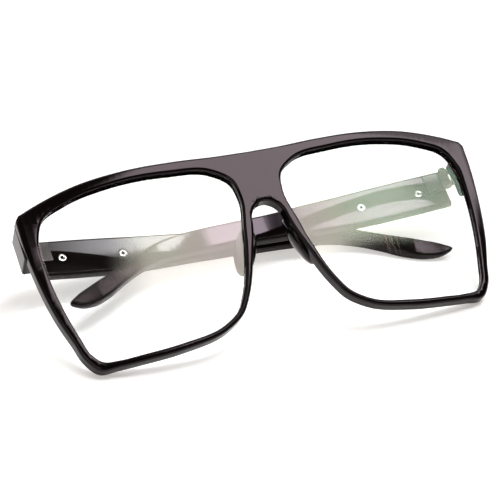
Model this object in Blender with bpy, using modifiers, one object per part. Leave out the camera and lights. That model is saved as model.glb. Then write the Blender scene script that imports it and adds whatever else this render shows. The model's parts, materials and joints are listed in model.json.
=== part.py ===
# Clear lens glasses, folded, and standing on the two lower rim corners and one temple tip.
# Left and right are the wearer's. Sizes are in metres.
# The front is drawn upright: x to the wearer's left, y back towards the wearer, z up, with the
# origin on its front face at the top of the bridge. One empty then leans the whole thing back.

import math

import bmesh
import bpy
from mathutils import Matrix, Vector

# Front
HALF_WIDTH = 0.0750
FRONT_THICKNESS = 0.0046
FRONT_EDGE = 0.0009
WRAP_DEPTH = 0.0093
WRAP_EASE = 0.43
BRIDGE_WIDTH = 0.0144
OPENING_HEIGHT = 0.0559
OPENING_DROP = 0.0022
BROW_RISE = 0.0021
BROW_DEPTH = 0.0037
CORNER_DROP = 0.0059
RIM_SIDE_TOP = 0.0051
RIM_SIDE = 0.0038
RIM_SIDE_LOW = 0.0026
RIM_CORNER = 0.0030
RIM_BOTTOM = 0.0022
RIM_NOSE_CORNER = 0.0019
RIM_NOSE = 0.0028
OPENING_WIDTH = HALF_WIDTH - BRIDGE_WIDTH / 2 - RIM_SIDE_TOP
ARCH_DROP = 0.0180
ARCH_HALF_WIDTH = 0.0057
ARCH_HEIGHT = 0.0074

# Nose pads, moulded on the rims
PAD_HEIGHT = 0.0170
PAD_DEPTH = 0.0110
PAD_THICKNESS = 0.0042
PAD_DROP = 0.0310
PAD_SETBACK = 0.0066
PAD_LEAN = math.radians(17)
PAD_FLARE = math.radians(22)

# Lenses
LENS_THICKNESS = 0.0016
LENS_SETBACK = 0.0027
LENS_OVERLAP = 0.0007
LENS_EDGE = 0.0002
GAP = 0.0003

# Hinges
HINGE_INSET = 0.0050
HINGE_OFFSET = HALF_WIDTH - HINGE_INSET
HINGE_SETBACK = 0.0207
HINGE_DROP = 0.0143
PANTOSCOPIC_TILT = math.radians(8)
KNUCKLE_RADIUS = 0.0014
KNUCKLE_HEIGHT = 0.0020
RUNNING_GAP = 0.0002
KNUCKLE_PITCH = KNUCKLE_HEIGHT + RUNNING_GAP
FINGER_HEIGHT = 0.0016
BARREL_RISE = 0.0018
LEAF_THICKNESS = 0.0008
LEAF_HEIGHT = 0.0064
LEAF_RECESS = 0.0005
TEMPLE_LEAF_LENGTH = 0.0066
FRONT_LEAF_LENGTH = 0.0068
SCREW_RADIUS = 0.0006
SCREW_HEAD_RADIUS = 0.0012
SCREW_HEAD_HEIGHT = 0.0007
SCREW_SLOT = 0.0003
STUD_RADIUS = 0.0006
STUD_LENGTH = 0.0012

# End pieces, which carry the hinges
END_INSET = 0.0017
END_HEIGHT = 0.0126
END_ROOT = 0.0019
END_LENGTH = HINGE_SETBACK - WRAP_DEPTH - END_ROOT
END_EDGE = 0.0008
JOINT_GAP = 0.0004

# Temples
TEMPLE_LENGTH = 0.1340
TEMPLE_THICKNESS = 0.0034
TEMPLE_EDGE = 0.0009
BUTT_HEIGHT = 0.0127
TIP_DROP = 0.0206
BOW_START = 0.0600
BOW_DEPTH = 0.0175
TIP_FACET_LENGTH = 0.0110
TIP_FACET_DEPTH = 0.0010
LEFT_FOLD = math.radians(4)
RIGHT_FOLD = math.radians(8)
FOLD_STEP = math.radians(0.25)
ARM_GAP = 0.0001

# Temple rivets
RIVET_PLACES = (0.0100, 0.0302)
RIVET_SHANK = 0.0010
RIVET_RING = 0.0014
RIVET_RING_HEIGHT = 0.0004
RIVET_BORE = 0.0005
RIVET_BORE_DEPTH = 0.0016
RIVET_HEAD = 0.0018
RIVET_DOME = 0.0006
RIVET_SINK = 0.0005
RIVET_DROP = 0.0003
RIVET_SLOPE = math.radians(1.4)

# Fineness
SPAN_STEPS = 2
ARM_STEPS = 60
COLUMN = 0.0075
ROUND_SIDES = 16

# The lens opening, as shares of its width from the nose and of its height from the top.
OPENING_SHAPE = (
    (0.000, 0.246),
    (0.020, 0.133),
    (0.102, 0.057),
    (0.311, 0.012),
    (0.598, 0.000),
    (0.827, 0.043),
    (0.952, 0.108),
    (0.999, 0.226),
    (1.000, 0.420),
    (0.967, 0.676),
    (0.933, 0.832),
    (0.906, 0.930),
    (0.862, 0.986),
    (0.790, 0.999),
    (0.679, 1.000),
    (0.478, 0.993),
    (0.262, 0.950),
    (0.176, 0.884),
    (0.127, 0.795),
    (0.062, 0.587),
    (0.026, 0.409),
)
FIRST_SIDE_POINT = 7

# The temple, as (share of its length, half its height there as a share of BUTT_HEIGHT, share of
# TIP_DROP that its middle has dropped by).
TEMPLE_SHAPE = (
    (0.000, 0.500, 0.000),
    (0.134, 0.508, 0.027),
    (0.260, 0.480, 0.044),
    (0.418, 0.394, 0.024),
    (0.550, 0.340, 0.022),
    (0.672, 0.305, 0.080),
    (0.750, 0.262, 0.201),
    (0.806, 0.222, 0.376),
    (0.850, 0.230, 0.550),
    (0.900, 0.268, 0.765),
    (0.944, 0.248, 0.923),
    (0.978, 0.160, 1.010),
)


def collection_named(name):
    made = bpy.data.collections.new(name)
    bpy.context.scene.collection.children.link(made)
    return made


def plastic(name, colour, roughness):
    made = bpy.data.materials.new(name)
    made.use_nodes = True
    shader = made.node_tree.nodes["Principled BSDF"]
    shader.inputs["Base Color"].default_value = (*colour, 1)
    shader.inputs["Roughness"].default_value = roughness
    shader.inputs["Coat Weight"].default_value = 0.5
    return made


def clear_plastic(name):
    made = bpy.data.materials.new(name)
    made.use_nodes = True
    shader = made.node_tree.nodes["Principled BSDF"]
    shader.inputs["Base Color"].default_value = (0.97, 0.98, 1, 1)
    shader.inputs["Roughness"].default_value = 0.02
    shader.inputs["Transmission Weight"].default_value = 1
    shader.inputs["IOR"].default_value = 1.49
    return made


def metal(name, colour, roughness):
    made = bpy.data.materials.new(name)
    made.use_nodes = True
    shader = made.node_tree.nodes["Principled BSDF"]
    shader.inputs["Base Color"].default_value = (*colour, 1)
    shader.inputs["Metallic"].default_value = 1
    shader.inputs["Roughness"].default_value = roughness
    return made


def empty(name, matrix, parent=None):
    made = bpy.data.objects.new(name, None)
    parts.objects.link(made)
    made.parent = parent
    made.matrix_local = matrix
    return made


def piece(name, bm, parent, material=None, side=1):
    """A named object of a bmesh; one without a material is a cutter or a tool."""
    if side < 0:
        bmesh.ops.scale(bm, vec=(-1, 1, 1), verts=bm.verts)
        bmesh.ops.reverse_faces(bm, faces=bm.faces)
    mesh = bpy.data.meshes.new(name)
    bm.to_mesh(mesh)
    bm.free()
    made = bpy.data.objects.new(name, mesh)
    made.parent = parent
    if material:
        parts.objects.link(made)
        mesh.materials.append(material)
        mesh.shade_smooth()
        mesh.set_sharp_from_angle(angle=math.radians(40))
    else:
        cutters.objects.link(made)
        made.hide_render = True
        made.display_type = "WIRE"
    return made


def combine(target, tool, operation):
    change = target.modifiers.new(tool.name, "BOOLEAN")
    change.object = tool
    change.operation = operation
    change.solver = "EXACT"


def smooth_line(points, closed):
    """A smooth line through the points, with SPAN_STEPS straight bits between each two."""
    count = len(points)
    points = [Vector(p) for p in points]

    def at(i):
        return points[i % count] if closed else points[min(max(i, 0), count - 1)]

    def slope(i):
        before = (at(i) - at(i - 1)).length
        after = (at(i + 1) - at(i)).length
        if not before:
            return (at(i + 1) - at(i)) / after
        if not after:
            return (at(i) - at(i - 1)) / before
        back = (at(i) - at(i - 1)) / before
        ahead = (at(i + 1) - at(i)) / after
        return (back * after + ahead * before) / (before + after)

    line = []
    for i in range(count if closed else count - 1):
        span = (at(i + 1) - at(i)).length
        for step in range(SPAN_STEPS):
            t = step / SPAN_STEPS
            line.append(
                at(i) * (1 - t) ** 2 * (1 + 2 * t)
                + slope(i) * span * t * (1 - t) ** 2
                + at(i + 1) * t**2 * (3 - 2 * t)
                - slope(i + 1) * span * t**2 * (1 - t)
            )
    if not closed:
        line.append(points[-1])
    return line


def outward(loop, i):
    """The normal of a loop at a point, pointing out; the loop runs clockwise."""
    along = (loop[(i + 1) % len(loop)] - loop[i - 1]).normalized()
    return Vector((-along.y, along.x))


def grown(loop, by):
    return [loop[i] + outward(loop, i) * by for i in range(len(loop))]


def plate(loops, thickness, edge):
    """A flat plate with rounded edges: its outlines in x and y, its thickness about z = 0."""
    curve = bpy.data.curves.new("outline", "CURVE")
    curve.dimensions = "2D"
    curve.fill_mode = "BOTH"
    curve.extrude = thickness / 2 - edge
    curve.bevel_depth = edge
    curve.bevel_resolution = 1
    curve.offset = -edge
    for loop in loops:
        spline = curve.splines.new("POLY")
        spline.points.add(len(loop) - 1)
        for point, place in zip(spline.points, loop):
            point.co = (place.x, place.y, 0, 1)
        spline.use_cyclic_u = True
    drawn = bpy.data.objects.new("outline", curve)
    cutters.objects.link(drawn)
    graph = bpy.context.evaluated_depsgraph_get()
    mesh = bpy.data.meshes.new_from_object(drawn.evaluated_get(graph))
    bm = bmesh.new()
    bm.from_mesh(mesh)
    bmesh.ops.remove_doubles(bm, verts=bm.verts, dist=1e-6)
    bmesh.ops.recalc_face_normals(bm, faces=bm.faces)
    bpy.data.objects.remove(drawn)
    bpy.data.curves.remove(curve)
    bpy.data.meshes.remove(mesh)
    return bm


def slice_across(bm, axis, places):
    for place in places:
        bmesh.ops.bisect_plane(
            bm,
            geom=bm.verts[:] + bm.edges[:] + bm.faces[:],
            dist=1e-6,
            plane_co=axis * place,
            plane_no=axis,
        )


def block(low, high, edge=0.0):
    bm = bmesh.new()
    bmesh.ops.create_cube(bm, size=1)
    size = Vector(high) - Vector(low)
    middle = (Vector(high) + Vector(low)) / 2
    bmesh.ops.scale(bm, vec=size, verts=bm.verts)
    bmesh.ops.translate(bm, vec=middle, verts=bm.verts)
    if edge:
        bmesh.ops.bevel(
            bm,
            geom=bm.edges,
            offset=edge,
            affect="EDGES",
            segments=2,
            profile=0.5,
            material=-1,
        )
    return bm


def rod(radius, start, end):
    """A cylinder between two points."""
    along = Vector(end) - Vector(start)
    bm = bmesh.new()
    bmesh.ops.create_cone(
        bm,
        cap_ends=True,
        segments=ROUND_SIDES,
        radius1=radius,
        radius2=radius,
        depth=along.length,
    )
    turn = along.to_track_quat("Z", "Y").to_matrix().to_4x4()
    place = Matrix.Translation((Vector(start) + Vector(end)) / 2)
    bmesh.ops.transform(bm, matrix=place @ turn, verts=bm.verts)
    return bm


def turned(name, profile, parent, matrix, material=None):
    """A profile of (radius, height) points from the axis round to the axis, spun by a Screw."""
    bm = bmesh.new()
    verts = [bm.verts.new((radius, 0, height)) for radius, height in profile]
    for first, second in zip(verts, verts[1:]):
        bm.edges.new((first, second))
    made = piece(name, bm, parent, material)
    screw = made.modifiers.new("turn", "SCREW")
    screw.steps = ROUND_SIDES
    screw.render_steps = ROUND_SIDES
    screw.use_merge_vertices = True
    screw.merge_threshold = 1e-6
    made.matrix_local = matrix
    return made


def opening_outline():
    nose = BRIDGE_WIDTH / 2
    points = [
        (nose + u * OPENING_WIDTH, -OPENING_DROP - v * OPENING_HEIGHT)
        for u, v in OPENING_SHAPE
    ]
    return points


def half_front_outline(opening):
    """The front's outer edge on the left half, from the top of the bridge round to the arch."""
    top = -OPENING_DROP + BROW_DEPTH
    brow = [
        (0, top - BROW_RISE),
        (0.14 * HALF_WIDTH, top - 0.86 * BROW_RISE),
        (0.31 * HALF_WIDTH, top - 0.36 * BROW_RISE),
        (0.54 * HALF_WIDTH, top),
        (0.73 * HALF_WIDTH, top - 0.18 * CORNER_DROP),
        (0.90 * HALF_WIDTH, top - 0.72 * CORNER_DROP),
        (0.985 * HALF_WIDTH, top - 1.12 * CORNER_DROP),
    ]
    loop = [Vector(p) for p in opening]
    widths = (
        RIM_SIDE_TOP,
        RIM_SIDE,
        (RIM_SIDE + RIM_SIDE_LOW) / 2,
        RIM_SIDE_LOW,
        RIM_SIDE_LOW,
        RIM_CORNER,
        RIM_BOTTOM,
        RIM_BOTTOM,
        RIM_BOTTOM,
        RIM_NOSE_CORNER,
        RIM_NOSE_CORNER,
        RIM_NOSE_CORNER,
        (RIM_NOSE_CORNER + RIM_NOSE) / 2,
    )
    flank = [(HALF_WIDTH, top - 1.4 * CORNER_DROP)]
    for i, width in enumerate(widths, FIRST_SIDE_POINT):
        flank.append(loop[i] + outward(loop, i) * width)
    turns = [math.radians(a) for a in (0, 30, 60, 80, 90)]
    arch = [
        (ARCH_HALF_WIDTH * math.cos(a), -ARCH_DROP - ARCH_HEIGHT * (1 - math.sin(a)))
        for a in turns
    ]
    return smooth_line(brow, False) + smooth_line(flank + arch, False)


def wrap(x):
    """How far the front's face curves back at x."""
    share = (x / HALF_WIDTH) ** 2
    return WRAP_DEPTH * share * (1 + WRAP_EASE * (1 - share))


UPRIGHT = Matrix.Rotation(math.radians(90), 4, "X")
STANDING = Matrix(((0, 0, 1, 0), (1, 0, 0, 0), (0, 1, 0, 0), (0, 0, 0, 1)))
ACROSS = Vector((1, 0, 0))
ALONG = Vector((0, 1, 0))


def bent_plate(loops, thickness, edge, setback):
    """A plate in the front's plane, centred setback behind its face and curved with it."""
    bm = plate(loops, thickness, edge)
    columns = range(-int(HALF_WIDTH / COLUMN), int(HALF_WIDTH / COLUMN) + 1)
    slice_across(bm, ACROSS, [COLUMN * i for i in columns])
    bmesh.ops.transform(bm, matrix=UPRIGHT, verts=bm.verts)
    for vert in bm.verts:
        vert.co.y += setback + wrap(vert.co.x)
    return bm


def make_front():
    opening = smooth_line(opening_outline(), True)
    half = half_front_outline(opening_outline())
    other = [Vector((-p.x, p.y)) for p in half[-2:0:-1]]
    mirrored = [Vector((-p.x, p.y)) for p in reversed(opening)]
    bm = bent_plate(
        [half + other, opening[::-1], mirrored[::-1]],
        FRONT_THICKNESS,
        FRONT_EDGE,
        FRONT_THICKNESS / 2,
    )
    front = piece("front_frame", bm, attitude, black_plastic)
    for side, name in SIDES:
        add_nose_pad(front, name, side)
        make_lens(name, side, opening)
        groove = grown(opening, LENS_OVERLAP + GAP)
        bm = bent_plate(
            [groove], LENS_THICKNESS + 2 * GAP, LENS_EDGE, LENS_SETBACK
        )
        combine(front, piece(name + "_groove", bm, attitude, side=side), "DIFFERENCE")
    return front


def make_lens(name, side, opening):
    bm = bent_plate(
        [grown(opening, LENS_OVERLAP)], LENS_THICKNESS, LENS_EDGE, LENS_SETBACK
    )
    return piece(name + "_lens", bm, attitude, clear, side)


def add_nose_pad(front, name, side):
    bm = bmesh.new()
    bmesh.ops.create_uvsphere(bm, u_segments=16, v_segments=10, radius=0.5)
    bmesh.ops.scale(bm, vec=(PAD_THICKNESS, PAD_DEPTH, PAD_HEIGHT), verts=bm.verts)
    lean = Matrix.Rotation(-PAD_LEAN, 4, "Y")
    flare = Matrix.Rotation(-PAD_FLARE, 4, "Z")
    drop = PAD_DROP - ARCH_DROP - ARCH_HEIGHT
    place = Vector((
        ARCH_HALF_WIDTH + RIM_NOSE / 2 + drop * math.tan(PAD_LEAN),
        PAD_SETBACK,
        -PAD_DROP,
    ))
    matrix = Matrix.Translation(place) @ lean @ flare
    bmesh.ops.transform(bm, matrix=matrix, verts=bm.verts)
    combine(front, piece(name + "_pad", bm, attitude, side=side), "UNION")


def add_end_piece(front, name, side, seat):
    """The block behind the front's upper corner, whose rear face meets the temple."""
    bm = block(
        (END_INSET, -END_LENGTH, -END_HEIGHT / 2),
        (END_INSET + TEMPLE_THICKNESS, -JOINT_GAP / 2, END_HEIGHT / 2),
        END_EDGE,
    )
    combine(front, piece(name + "_end", bm, seat, side=side), "UNION")
    cut_leaf_seat(front, name + "_end", side, seat, -FRONT_LEAF_LENGTH)


def stud_place(length):
    return length * 0.62, BARREL_RISE


def cut_leaf_seat(target, name, side, parent, length):
    """A hinge leaf's pocket, and the hole for the stud on its back."""
    recess = leaf_recess(length)
    combine(target, piece(name + "_recess", recess, parent, side=side), "DIFFERENCE")
    bore = rod(
        STUD_RADIUS + GAP,
        (END_INSET, *stud_place(length)),
        (END_INSET + LEAF_RECESS + STUD_LENGTH + 2 * GAP, *stud_place(length)),
    )
    combine(target, piece(name + "_stud_bore", bore, parent, side=side), "DIFFERENCE")


def leaf_recess(length):
    """The shallow pocket for a hinge leaf that reaches to y = length."""
    near, far = sorted((-math.copysign(GAP, length), length + math.copysign(GAP, length)))
    return block(
        (END_INSET - KNUCKLE_RADIUS, near, BARREL_RISE - LEAF_HEIGHT / 2 - GAP),
        (END_INSET + LEAF_RECESS, far, BARREL_RISE + LEAF_HEIGHT / 2 + GAP),
    )


def make_leaf(name, side, parent, length, knuckles):
    """One half of a hinge: a plate on a stud, whose fingers end in knuckles at the steps given."""
    toward = math.copysign(1, length)
    root = (KNUCKLE_RADIUS + GAP) * toward
    low = BARREL_RISE - LEAF_HEIGHT / 2
    outline = [(length, low), (root, low)]
    for step in knuckles:
        middle = BARREL_RISE + step * KNUCKLE_PITCH
        reach = FINGER_HEIGHT / 2
        outline += [(root, middle - reach), (0, middle - reach)]
        outline += [(0, middle + reach), (root, middle + reach)]
    outline += [(root, low + LEAF_HEIGHT), (length, low + LEAF_HEIGHT)]
    if toward > 0:
        outline.reverse()
    bm = plate([[Vector(p) for p in outline]], LEAF_THICKNESS, 0)
    bmesh.ops.transform(bm, matrix=STANDING, verts=bm.verts)
    shift = END_INSET + LEAF_RECESS - GAP - LEAF_THICKNESS / 2
    bmesh.ops.translate(bm, vec=ACROSS * shift, verts=bm.verts)
    leaf = piece(name, bm, parent, steel, side)
    for step in knuckles:
        middle = BARREL_RISE + step * KNUCKLE_PITCH
        bottom = (0, 0, middle - KNUCKLE_HEIGHT / 2)
        bm = rod(KNUCKLE_RADIUS, bottom, (0, 0, middle + KNUCKLE_HEIGHT / 2))
        combine(leaf, piece(name + "_knuckle", bm, parent, side=side), "UNION")
    reach = LEAF_HEIGHT
    bm = rod(SCREW_RADIUS + RUNNING_GAP, (0, 0, -reach), (0, 0, reach))
    combine(leaf, piece(name + "_bore", bm, parent, side=side), "DIFFERENCE")
    end = END_INSET + LEAF_RECESS + STUD_LENGTH
    bm = rod(STUD_RADIUS, (shift, *stud_place(length)), (end, *stud_place(length)))
    combine(leaf, piece(name + "_stud", bm, parent, side=side), "UNION")


def make_screw(name, side, seat):
    """The hinge screw: its head over the top knuckle, its shank down to the bottom one."""
    under_head = BARREL_RISE + KNUCKLE_PITCH + KNUCKLE_HEIGHT / 2 + RUNNING_GAP
    bottom = BARREL_RISE - KNUCKLE_PITCH - KNUCKLE_HEIGHT / 2
    top = under_head + SCREW_HEAD_HEIGHT
    profile = (
        (0, top),
        (SCREW_HEAD_RADIUS * 0.7, top),
        (SCREW_HEAD_RADIUS, top - SCREW_HEAD_HEIGHT * 0.4),
        (SCREW_HEAD_RADIUS, under_head),
        (SCREW_RADIUS, under_head),
        (SCREW_RADIUS, bottom),
        (0, bottom),
    )
    screw = turned(name + "_hinge_screw", profile, seat, Matrix(), steel)
    wide = SCREW_HEAD_RADIUS * 1.5
    bm = block(
        (-wide, -SCREW_SLOT / 2, top - SCREW_HEAD_HEIGHT * 0.5),
        (wide, SCREW_SLOT / 2, top + SCREW_HEAD_HEIGHT),
    )
    combine(screw, piece(name + "_slot", bm, seat, side=side), "DIFFERENCE")


def temple_outline():
    """The temple's outline: y along it from the hinge axis, and height about the axis's middle."""
    top = []
    bottom = []
    for along, half_height, drop in TEMPLE_SHAPE:
        y = max(along * TEMPLE_LENGTH, JOINT_GAP / 2)
        top.append((y, half_height * BUTT_HEIGHT - drop * TIP_DROP))
        bottom.append((y, -half_height * BUTT_HEIGHT - drop * TIP_DROP))
    tip = (TEMPLE_LENGTH, -1.06 * TIP_DROP)
    return smooth_line([*top, tip, *bottom[::-1]], False)


def bow(along):
    """How far the temple curves in towards the head, this far along it."""
    share = max(along - BOW_START, 0) / (TEMPLE_LENGTH - BOW_START)
    return BOW_DEPTH * share**2


def edges_at(along):
    """The heights of the temple's lower and upper edge, this far along it."""
    share = min(along / TEMPLE_LENGTH, TEMPLE_SHAPE[-1][0])
    for near, far in zip(TEMPLE_SHAPE, TEMPLE_SHAPE[1:]):
        if share <= far[0]:
            break
    t = (share - near[0]) / (far[0] - near[0])
    half = (near[1] + (far[1] - near[1]) * t) * BUTT_HEIGHT
    drop = (near[2] + (far[2] - near[2]) * t) * TIP_DROP
    return -half - drop, half - drop


def arm_line(fold):
    """Places down a folded arm: across from the middle, back from the hinge, and both edges."""
    places = []
    for i in range(ARM_STEPS + 1):
        along = TEMPLE_LENGTH * i / ARM_STEPS
        out = END_INSET + TEMPLE_THICKNESS / 2 - bow(along)
        across = HINGE_OFFSET - along * math.cos(fold) + out * math.sin(fold)
        back = along * math.sin(fold) + out * math.cos(fold)
        places.append((across, back, *edges_at(along)))
    return places


def outer_fold(inner):
    """The least fold, from RIGHT_FOLD up, at which the outer arm lies clear behind the inner one."""
    fold = RIGHT_FOLD
    while fold < math.radians(60):
        rooms = [
            outer[1] - place[1]
            for place in arm_line(inner)
            for outer in arm_line(fold)
            if abs(place[0] + outer[0]) < TEMPLE_LENGTH / ARM_STEPS
            and place[2] < outer[3]
            and outer[2] < place[3]
        ]
        if not rooms or min(rooms) > TEMPLE_THICKNESS + ARM_GAP:
            break
        fold += FOLD_STEP
    return fold


def make_temple(name, side, hinge):
    bm = plate([temple_outline()[::-1]], TEMPLE_THICKNESS, TEMPLE_EDGE)
    bmesh.ops.transform(bm, matrix=STANDING, verts=bm.verts)
    rows = int((TEMPLE_LENGTH - BOW_START) / COLUMN) + 1
    slice_across(bm, ALONG, [BOW_START + COLUMN * i for i in range(rows)])
    facet = TEMPLE_LENGTH - TIP_FACET_LENGTH
    slice_across(bm, ALONG, [facet])
    for vert in bm.verts:
        along = vert.co.y
        if along > facet and vert.co.x < 0:
            vert.co.x += TIP_FACET_DEPTH * (along - facet) / TIP_FACET_LENGTH
        vert.co.x += END_INSET + TEMPLE_THICKNESS / 2 - bow(along)
    temple = piece(name + "_temple", bm, hinge, black_plastic, side)
    cut_leaf_seat(temple, name + "_temple", side, hinge, TEMPLE_LEAF_LENGTH)
    for place in RIVET_PLACES:
        cut_rivet_hole(temple, name, side, hinge, place)


def rivet_height(place):
    return -RIVET_DROP - place * math.tan(RIVET_SLOPE)


def rivet_matrix(side, place):
    """A rivet's place: up its own axis is out of the temple's outer face."""
    turn = Matrix.Rotation(side * math.radians(90), 4, "Y")
    return Matrix.Translation((side * END_INSET, place, rivet_height(place))) @ turn


def cut_rivet_hole(temple, name, side, hinge, place):
    """The hole a rivet stands in, wider at its ends where the head and the ring lie."""
    shank = RIVET_SHANK + RUNNING_GAP
    ring = RIVET_RING + RUNNING_GAP
    profile = (
        (0, TEMPLE_THICKNESS + GAP),
        (RIVET_HEAD + RUNNING_GAP, TEMPLE_THICKNESS + GAP),
        (RIVET_HEAD + RUNNING_GAP, TEMPLE_THICKNESS - RIVET_SINK),
        (shank, TEMPLE_THICKNESS - RIVET_SINK),
        (shank, RIVET_SINK),
        (ring, RIVET_SINK),
        (ring, -GAP),
        (0, -GAP),
    )
    tool = turned(name + "_rivet_hole", profile, hinge, rivet_matrix(side, place))
    combine(temple, tool, "DIFFERENCE")


def make_rivet(name, side, hinge, place):
    """A tubular rivet: a dome outside, a shank through, and a rolled ring round a bore inside."""
    head = TEMPLE_THICKNESS - RIVET_SINK + RUNNING_GAP
    under_ring = RIVET_SINK - RUNNING_GAP
    ring = under_ring - RIVET_RING_HEIGHT
    crown = head + RUNNING_GAP + RIVET_DOME
    profile = (
        (0, crown),
        (RIVET_HEAD * 0.5, crown - RIVET_DOME * 0.22),
        (RIVET_HEAD * 0.85, crown - RIVET_DOME * 0.65),
        (RIVET_HEAD, head + RUNNING_GAP / 2),
        (RIVET_HEAD, head),
        (RIVET_SHANK, head),
        (RIVET_SHANK, under_ring),
        (RIVET_RING, under_ring),
        (RIVET_RING, under_ring - RIVET_RING_HEIGHT * 0.4),
        (RIVET_RING * 0.8, ring),
        (RIVET_BORE * 1.4, ring),
        (RIVET_BORE, ring + RIVET_RING_HEIGHT * 0.5),
        (RIVET_BORE, ring + RIVET_BORE_DEPTH),
        (0, ring + RIVET_BORE_DEPTH),
    )
    turned(name, profile, hinge, rivet_matrix(side, place), steel)


def make_side(front, name, side, fold):
    """The end piece, hinge, temple and rivets of one side."""
    tilt = Matrix.Rotation(-PANTOSCOPIC_TILT, 4, "X")
    place = Matrix.Translation((side * HINGE_OFFSET, HINGE_SETBACK, -HINGE_DROP))
    seat = empty(name + "_hinge_seat", place @ tilt, attitude)
    turn = Matrix.Rotation(side * (math.radians(90) - fold), 4, "Z")
    hinge = empty(name + "_hinge_axis", turn, seat)
    add_end_piece(front, name, side, seat)
    make_leaf(name + "_front_hinge_leaf", side, seat, -FRONT_LEAF_LENGTH, (-1, 1))
    make_leaf(name + "_temple_hinge_leaf", side, hinge, TEMPLE_LEAF_LENGTH, (0,))
    make_screw(name, side, seat)
    make_temple(name, side, hinge)
    for place, word in zip(RIVET_PLACES, ("front", "rear")):
        make_rivet(f"{name}_{word}_rivet", side, hinge, place)


def points_of(names):
    """The corners of the finished pieces, in world space."""
    bpy.context.view_layer.update()
    graph = bpy.context.evaluated_depsgraph_get()
    found = []
    for name in names:
        evaluated = bpy.data.objects[name].evaluated_get(graph)
        mesh = evaluated.to_mesh()
        found += [evaluated.matrix_world @ v.co for v in mesh.vertices]
        evaluated.to_mesh_clear()
    return found


def lowest(points, lean):
    return min(p.z * math.cos(lean) - p.y * math.sin(lean) for p in points)


def lean_back():
    """Leans the glasses back until rims and temple tips both touch the floor, and centres them."""
    rims = points_of(["front_frame"])
    tips = points_of(["left_temple", "right_temple"])
    least = 0.0
    most = math.radians(80)
    for _ in range(40):
        lean = (least + most) / 2
        if lowest(tips, lean) > lowest(rims, lean):
            least = lean
        else:
            most = lean
    turn = Matrix.Rotation(-lean, 4, "X")
    attitude.matrix_world = turn
    everything = points_of([obj.name for obj in parts.objects if obj.type == "MESH"])
    low = Vector([min(p[i] for p in everything) for i in range(3)])
    high = Vector([max(p[i] for p in everything) for i in range(3)])
    middle = (low + high) / 2
    attitude.matrix_world = Matrix.Translation((-middle.x, -middle.y, -low.z)) @ turn


for old in list(bpy.data.objects):
    bpy.data.objects.remove(old)

parts = collection_named("clear_lens_glasses")
cutters = collection_named("cutters")
black_plastic = plastic("black_plastic", (0.012, 0.011, 0.012), 0.12)
clear = clear_plastic("clear_lens")
steel = metal("steel", (0.72, 0.72, 0.70), 0.25)

SIDES = ((1, "left"), (-1, "right"))
FOLDS = {"left": LEFT_FOLD, "right": outer_fold(LEFT_FOLD)}

attitude = empty("resting_attitude", Matrix())
front_frame = make_front()
for side, name in SIDES:
    make_side(front_frame, name, side, FOLDS[name])
lean_back()
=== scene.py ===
# Clear lens glasses, folded, on a white table.
# The front is drawn upright: x to the wearer's left, y back, z up, with the top of the bridge at
# the origin. Everything is in metres.
import json
import math

import bmesh
import bpy
from mathutils import Matrix, Vector


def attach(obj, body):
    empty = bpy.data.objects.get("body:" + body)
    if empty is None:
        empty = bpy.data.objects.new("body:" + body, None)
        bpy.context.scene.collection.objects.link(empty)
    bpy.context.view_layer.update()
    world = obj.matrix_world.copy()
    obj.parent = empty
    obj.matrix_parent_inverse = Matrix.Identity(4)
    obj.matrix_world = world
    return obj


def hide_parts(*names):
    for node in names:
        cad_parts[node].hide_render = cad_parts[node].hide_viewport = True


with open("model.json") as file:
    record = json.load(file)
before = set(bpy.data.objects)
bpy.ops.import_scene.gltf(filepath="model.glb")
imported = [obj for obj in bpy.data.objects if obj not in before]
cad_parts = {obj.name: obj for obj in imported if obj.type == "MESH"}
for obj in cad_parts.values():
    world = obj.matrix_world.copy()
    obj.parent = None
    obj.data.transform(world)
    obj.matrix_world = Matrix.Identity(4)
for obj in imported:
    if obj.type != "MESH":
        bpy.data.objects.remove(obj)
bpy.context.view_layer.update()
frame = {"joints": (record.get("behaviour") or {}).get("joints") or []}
print("frame loaded")

sides = ((1, "left"), (-1, "right"))
spanSteps = 8  # straight bits between two points of an outline
sliceWidth = 0.002  # how finely a bent piece is cut before it is bent
mitreLimit = 0.6  # keeps a sharp corner's point from running away
cutTolerance = 1e-7
mergeTolerance = 1e-6
roundSteps = 48
rodSteps = 40
smoothBelow = 35  # degrees between faces that are shaded as one

hingeSeat = {"offset": 0.0700, "setback": 0.0207, "drop": 0.0143, "tilt": math.radians(8)}
folds = {"left": math.radians(4), "right": math.radians(8)}


def restingMatrix():
    # the lean of the glasses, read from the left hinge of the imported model
    joint = next(j for j in frame["joints"] if j["name"] == "left_temple_hinge")
    up = -Vector(joint["axis"])
    turn = Matrix.Rotation(hingeSeat["tilt"] - math.atan2(up.y, up.z), 4, "X")
    seat = Vector((hingeSeat["offset"], hingeSeat["setback"], -hingeSeat["drop"]))
    return Matrix.Translation(Vector(joint["pos_m"]) - turn @ seat) @ turn


resting = restingMatrix()


def seatMatrix(side):
    place = (side * hingeSeat["offset"], hingeSeat["setback"], -hingeSeat["drop"])
    return Matrix.Translation(place) @ Matrix.Rotation(-hingeSeat["tilt"], 4, "X")


def armMatrix(side, word):
    return seatMatrix(side) @ Matrix.Rotation(side * (math.radians(90) - folds[word]), 4, "Z")


# Materials


def newMaterial(name):
    made = bpy.data.materials.new(name)
    made.use_nodes = True
    nodes = made.node_tree.nodes
    return made, nodes, made.node_tree.links, nodes["Principled BSDF"]


def noiseNode(nodes, links, coords, scale, detail, stretch):
    mapping = nodes.new("ShaderNodeMapping")
    mapping.inputs["Scale"].default_value = stretch
    noise = nodes.new("ShaderNodeTexNoise")
    noise.inputs["Scale"].default_value = scale
    noise.inputs["Detail"].default_value = detail
    links.new(coords.outputs["Object"], mapping.inputs["Vector"])
    links.new(mapping.outputs["Vector"], noise.inputs["Vector"])
    return noise.outputs["Fac"]


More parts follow.
